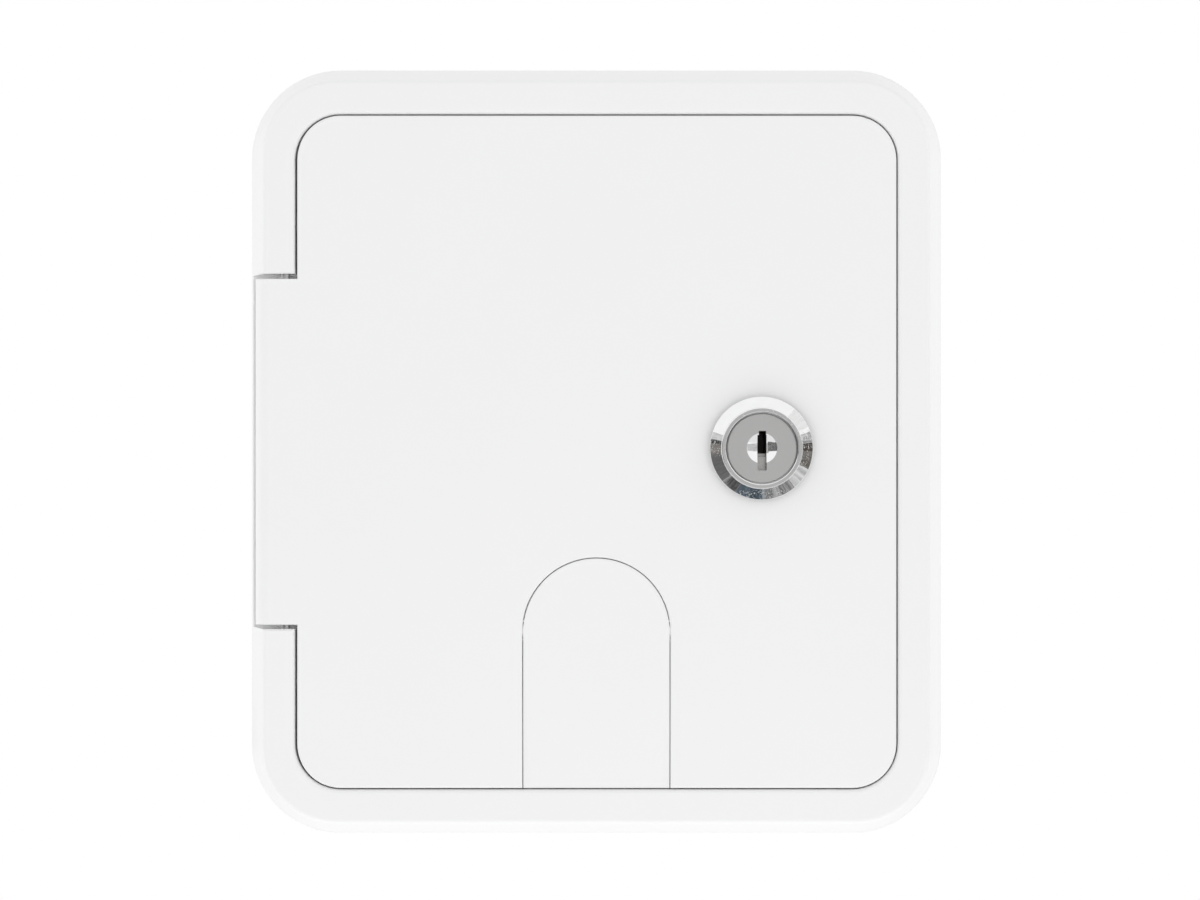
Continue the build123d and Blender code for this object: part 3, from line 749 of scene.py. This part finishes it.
def new_tree(name, sizes):
    """A geometry tree with a Geometry input and output, a material and the named sizes."""
    tree = bpy.data.node_groups.new(name, "GeometryNodeTree")
    graph = Graph(tree)
    tree.interface.new_socket("Geometry", in_out="OUTPUT", socket_type="NodeSocketGeometry")
    tree.interface.new_socket("Geometry", in_out="INPUT", socket_type="NodeSocketGeometry")
    tree.interface.new_socket("Material", in_out="INPUT", socket_type="NodeSocketMaterial")
    for size in sizes:
        tree.interface.new_socket(size, in_out="INPUT", socket_type="NodeSocketFloat")
    outputs = graph.node("NodeGroupInput").socket.node.outputs
    return graph, {output.name: Field(graph, output) for output in outputs if output.name}


def end_tree(graph, geometry, material):
    """Instances become real, then take the material."""
    real = graph.node("GeometryNodeRealizeInstances", sockets={"Geometry": geometry})
    painted = graph.node("GeometryNodeSetMaterial", sockets={"Geometry": real, "Material": material})
    graph.node("NodeGroupOutput", sockets={"Geometry": painted})


def grown(name, graph, material, values, places=()):
    """The plain mesh that a tree makes from its named values and a set of points."""
    seed = bpy.data.meshes.new(name)
    seed.from_pydata(list(places), [], [])
    carrier = bpy.data.objects.new(name, seed)
    SCENE.collection.objects.link(carrier)
    modifier = carrier.modifiers.new(name, "NODES")
    modifier.node_group = graph.tree
    for item in graph.tree.interface.items_tree:
        if item.in_out == "INPUT" and item.name in values:
            modifier[item.identifier] = values[item.name]
        if item.in_out == "INPUT" and item.name == "Material":
            modifier[item.identifier] = material
    depsgraph = bpy.context.evaluated_depsgraph_get()
    mesh = bpy.data.meshes.new_from_object(carrier.evaluated_get(depsgraph))
    bpy.data.objects.remove(carrier)
    return mesh


print("growing helpers ready")

# %% Thread of the lock body
THREAD_PITCH = 1.0 * MM
THREAD_START_Y = -12.5 * MM
THREAD_END_Y = 0.4 * MM
THREAD_STEPS = 72
THREAD_SIDES = 8
THREAD_FLAT_SHORT = 0.05 * MM

graph, given = new_tree("screw_thread", ["Radius", "Depth", "Pitch", "Length", "Flat"])
spiral = graph.node(
    "GeometryNodeCurveSpiral",
    sockets={
        "Resolution": THREAD_STEPS,
        "Rotations": given["Length"] / given["Pitch"],
        "Start Radius": given["Radius"] - given["Depth"],
        "End Radius": given["Radius"] - given["Depth"],
        "Height": given["Length"],
    },
)
ridge = graph.node(
    "GeometryNodeCurvePrimitiveCircle", sockets={"Resolution": THREAD_SIDES, "Radius": given["Depth"]}
)
thread = graph.node(
    "GeometryNodeCurveToMesh", sockets={"Curve": spiral, "Profile Curve": ridge, "Fill Caps": True}
)
x, y, z = graph.node("GeometryNodeInputPosition").axes()
flat_x = x.math("MINIMUM", given["Flat"]).math("MAXIMUM", given["Flat"] * -1.0)
along_lock = graph.node(
    "ShaderNodeCombineXYZ",
    sockets={"X": flat_x + LOCK_X, "Y": z + THREAD_START_Y, "Z": LOCK_Z - y},
)
placed = graph.node("GeometryNodeSetPosition", sockets={"Geometry": thread, "Position": along_lock})
end_tree(graph, placed, given["Material"])
thread_sizes = {
    "Radius": THREAD_CREST_R,
    "Depth": THREAD_DEPTH,
    "Pitch": THREAD_PITCH,
    "Length": THREAD_END_Y - THREAD_START_Y,
    "Flat": FLAT_HALF - THREAD_FLAT_SHORT,
}
thread_mesh = grown("lock_thread", graph, CHROME, thread_sizes)
dressed("lock_thread", thread_mesh, "chrome", "door")

# %% Ejector pin marks on the door's back
DOOR_SKIN = 2.5 * MM
MARK_R = 2.0 * MM
MARK_RISE = 0.06 * MM
MARK_SIDES = 40
MARK_COLUMNS = (-52.0 * MM, 0.0, 52.0 * MM)
MARK_ROWS = (-36.0 * MM, 14.0 * MM, 40.0 * MM, 62.0 * MM)

graph, given = new_tree("repeated_disc", ["Radius", "Rise"])
disc = graph.node(
    "GeometryNodeMeshCylinder",
    sockets={"Vertices": MARK_SIDES, "Radius": given["Radius"], "Depth": given["Rise"] * 2.0},
)
copies = graph.node(
    "GeometryNodeInstanceOnPoints",
    sockets={"Points": given["Geometry"], "Instance": disc, "Rotation": (math.radians(90), 0, 0)},
)
end_tree(graph, copies, given["Material"])
back_y = DOOR_FACE_Y + DOOR_SKIN
mark_places = [(x, back_y, z) for x in MARK_COLUMNS for z in MARK_ROWS if x or z > 0]
mark_mesh = grown("pin_marks", graph, PLASTIC, {"Radius": MARK_R, "Rise": MARK_RISE}, mark_places)
dressed("pin_marks", mark_mesh, "white_plastic", "door")

# %% [markdown]
# Light and background
# The photograph was lit almost evenly from all sides, like a light tent: the lower border is
# the brightest, the upper one the darkest, and only the lock throws a faint shade upwards.
# The world is that tent. A soft lamp below the camera makes the shade, and glowing cards outside
# the view, seen only in mirrors, paint the dark and pale reflections on the chrome, where a
# product studio would use real cards.

# %% World
TENT_LEVEL = 1.15
TENT_FRONT = -0.19
TENT_UP = -0.44

world = bpy.data.worlds.new("tent")
world.use_nodes = True
SCENE.world = world
tent = Graph(world.node_tree)
_, away, up = tent.node("ShaderNodeTexCoord").axes()
front = (away * -1.0).math("MAXIMUM", 0.0)
above = up.math("MAXIMUM", 0.0)
tent_light = TENT_LEVEL + front * front * TENT_FRONT + above * above * TENT_UP
rays = tent.node("ShaderNodeLightPath").socket.node.outputs
plain_white = Field(tent, rays["Is Camera Ray"])
for kind in ("Is Glossy Ray", "Is Transmission Ray"):
    plain_white = plain_white.math("MAXIMUM", Field(tent, rays[kind]))
strength = plain_white + (1.0 - plain_white) * tent_light
backdrop = tent.node("ShaderNodeBackground", sockets={"Color": grey(1.0), "Strength": strength})
tent.node("ShaderNodeOutputWorld", sockets={"Surface": backdrop})
print("world ready")

# %% Lamp
FLOOR_Z = -0.45
LAMP_PLACE = Vector((0.0, -0.10, FLOOR_Z + 0.02))
LAMP_AIM = Vector((0.0, -0.10, 0.0))
LAMP_SIZE = 0.90
LAMP_RADIANCE = 0.46


def soft_lamp(name, place, aim, size, radiance):
    """A square lamp of the given radiance, turned to aim."""
    data = bpy.data.lights.new(name, "AREA")
    data.size = size
    data.energy = radiance * math.pi * size**2
    lamp = bpy.data.objects.new(name, data)
    lamp.location = place
    lamp.rotation_euler = (aim - place).to_track_quat("-Z", "Y").to_euler()
    lamp.visible_camera = False
    lamp.visible_glossy = False
    SCENE.collection.objects.link(lamp)
    return lamp


soft_lamp("lamp_below", LAMP_PLACE, LAMP_AIM, LAMP_SIZE, LAMP_RADIANCE)
print("lamp radiance", LAMP_RADIANCE)

# %% Floor
FLOOR_R = 1.6
FLOOR_FADE = (0.6, 1.45)


def flat_mesh(name, corners, faces):
    """A one-sided piece of the stage from its corner points and its faces."""
    mesh = bpy.data.meshes.new(name)
    mesh.from_pydata(corners, [], faces)
    piece = bpy.data.objects.new(name, mesh)
    SCENE.collection.objects.link(piece)
    piece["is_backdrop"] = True
    return piece


def floor_finish():
    """Pale floor that keeps the shadow near the hatch and fades to the white background."""
    material, finish = new_finish("pale_floor")
    x, y, _ = finish.place().axes()
    fade = (x * x + y * y).math("SQRT").smooth(*FLOOR_FADE)
    rays = finish.node("ShaderNodeLightPath").socket.node.outputs
    unlit = fade * Field(finish, rays["Is Camera Ray"])
    lit = finish.node("ShaderNodeBsdfDiffuse", sockets={"Color": grey(0.93)})
    white = finish.node("ShaderNodeEmission", sockets={"Color": grey(1.0), "Strength": 1.0})
    mixed = finish.node("ShaderNodeMixShader", sockets={0: unlit, 1: lit, 2: white})
    finish.node("ShaderNodeOutputMaterial", sockets={"Surface": mixed})
    return material


FLOOR_CORNERS = 96
turns = [2 * math.pi * corner / FLOOR_CORNERS for corner in range(FLOOR_CORNERS)]
rim = [(FLOOR_R * math.cos(turn), FLOOR_R * math.sin(turn), FLOOR_Z) for turn in turns]
floor = flat_mesh("floor", rim, [range(FLOOR_CORNERS)])
floor.data.materials.append(floor_finish())
print("floor at", FLOOR_Z)

# %% [markdown]
# What the chrome mirrors: glowing cards with painted reflections
# The bezel is a cone, and each part of it mirrors one direction round the lock, about twenty
# degrees in front of the door. So the cards stand in a ring round the lock, each from one clock
# angle to another, counted in degrees from the top. Two more stand in front for the dish, which
# mirrors left for right and top for bottom. Each card glows with its own greys, a painted
# reflection for the chrome to show. Only mirrors see the cards: they take no light from
# the plastic and throw no shadow.

# %% Card finish
PAINTED_REFLECTION_SCALE = 26.0


def painted_reflection_finish(name, dark, pale):
    """A glowing card that is nowhere quite even: a painted reflection that the chrome mirrors as streaks."""
    material, finish = new_finish(name)
    reflection_streaks = finish.noise(scale=PAINTED_REFLECTION_SCALE, detail=4.0, roughness=0.7).smooth(0.35, 0.68)
    glow = finish.node("ShaderNodeEmission", sockets={"Color": finish.blend(reflection_streaks, dark, pale)})
    finish.node("ShaderNodeOutputMaterial", sockets={"Surface": glow})
    return material


def card(name, corners, faces, dark, pale):
    piece = flat_mesh(name, corners, faces)
    piece.data.materials.append(painted_reflection_finish(name, dark, pale))
    piece.visible_camera = False
    piece.visible_diffuse = False
    piece.visible_shadow = False
    return piece


print("card helpers ready")

# %% Cards round the lock
CARD_RING_R = 0.34
CARD_RING_DEPTHS = (-0.27, -0.085)
CARD_STEP = 3.0


def ring_card(name, start, end, dark, pale):
    """A curved card round the lock, from one clock angle to another."""
    steps = math.ceil((end - start) / CARD_STEP)
    corners = []
    for step in range(steps + 1):
        turn = math.radians(start + (end - start) * step / steps)
        x = LOCK_X + CARD_RING_R * math.sin(turn)
        z = LOCK_Z + CARD_RING_R * math.cos(turn)
        corners += [(x, depth, z) for depth in CARD_RING_DEPTHS]
    faces = [(2 * step, 2 * step + 1, 2 * step + 3, 2 * step + 2) for step in range(steps)]
    return card(name, corners, faces, dark, pale)


# Painted reflections: each card's dark and pale greys are what the bezel shows at those clock angles
ring_card("card_right_top", 42, 66, grey(0.80, 0.01), grey(0.92))
ring_card("card_right_edge", 72, 84, grey(0.20), grey(0.70))
ring_card("card_right_dark", 84, 93, grey(0.04, 0.01), grey(0.10, 0.01))
ring_card("card_right", 93, 113, grey(0.11, 0.012), grey(0.22, 0.012))
ring_card("card_right_low", 113, 137, grey(0.45), grey(0.75))
ring_card("card_low_right", 137, 173, grey(0.10), grey(0.50))
ring_card("card_line", 173, 176, grey(0.25, -0.02), grey(0.45, -0.02))
ring_card("card_foot", 176, 208, grey(0.070, -0.018), grey(0.16, -0.03))
ring_card("card_low_left", 208, 228, grey(0.07), grey(0.40))
ring_card("card_left", 228, 262, grey(0.11), grey(0.17))
ring_card("card_left_warm", 262, 276, grey(0.16, 0.012), grey(0.26, 0.016))
ring_card("card_left_edge", 276, 281, grey(0.05), grey(0.12))
ring_card("card_left_top", 281, 289, grey(0.45), grey(0.85))

# %% Cards in front


def front_card(name, y, low, high, dark, pale):
    """An upright card in front of the hatch, from a low corner to a high one, as (x, z)."""
    (left, foot), (right, head) = low, high
    corners = [(left, y, foot), (right, y, foot), (right, y, head), (left, y, head)]
    return card(name, corners, [(0, 1, 2, 3)], dark, pale)


# Painted reflections for the plug's face and the dish
front_card("card_behind_camera", -1.1, (-0.30, -0.30), (0.30, 0.30), grey(0.46, 0.003), grey(0.50, 0.003))
front_card("card_front_left", -0.75, (-0.80, -0.27), (-0.16, 0.13), grey(0.08), grey(0.30))
front_card("card_front_right", -0.75, (0.24, -0.20), (0.80, 0.13), grey(0.45), grey(0.70))
print("cards placed")

# %% Sizes of the model and of the finished scene
boxes = {"cad": CAD_BOX, "visual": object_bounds()}
boxes = {name: [list(corner) for corner in box] for name, box in boxes.items()}
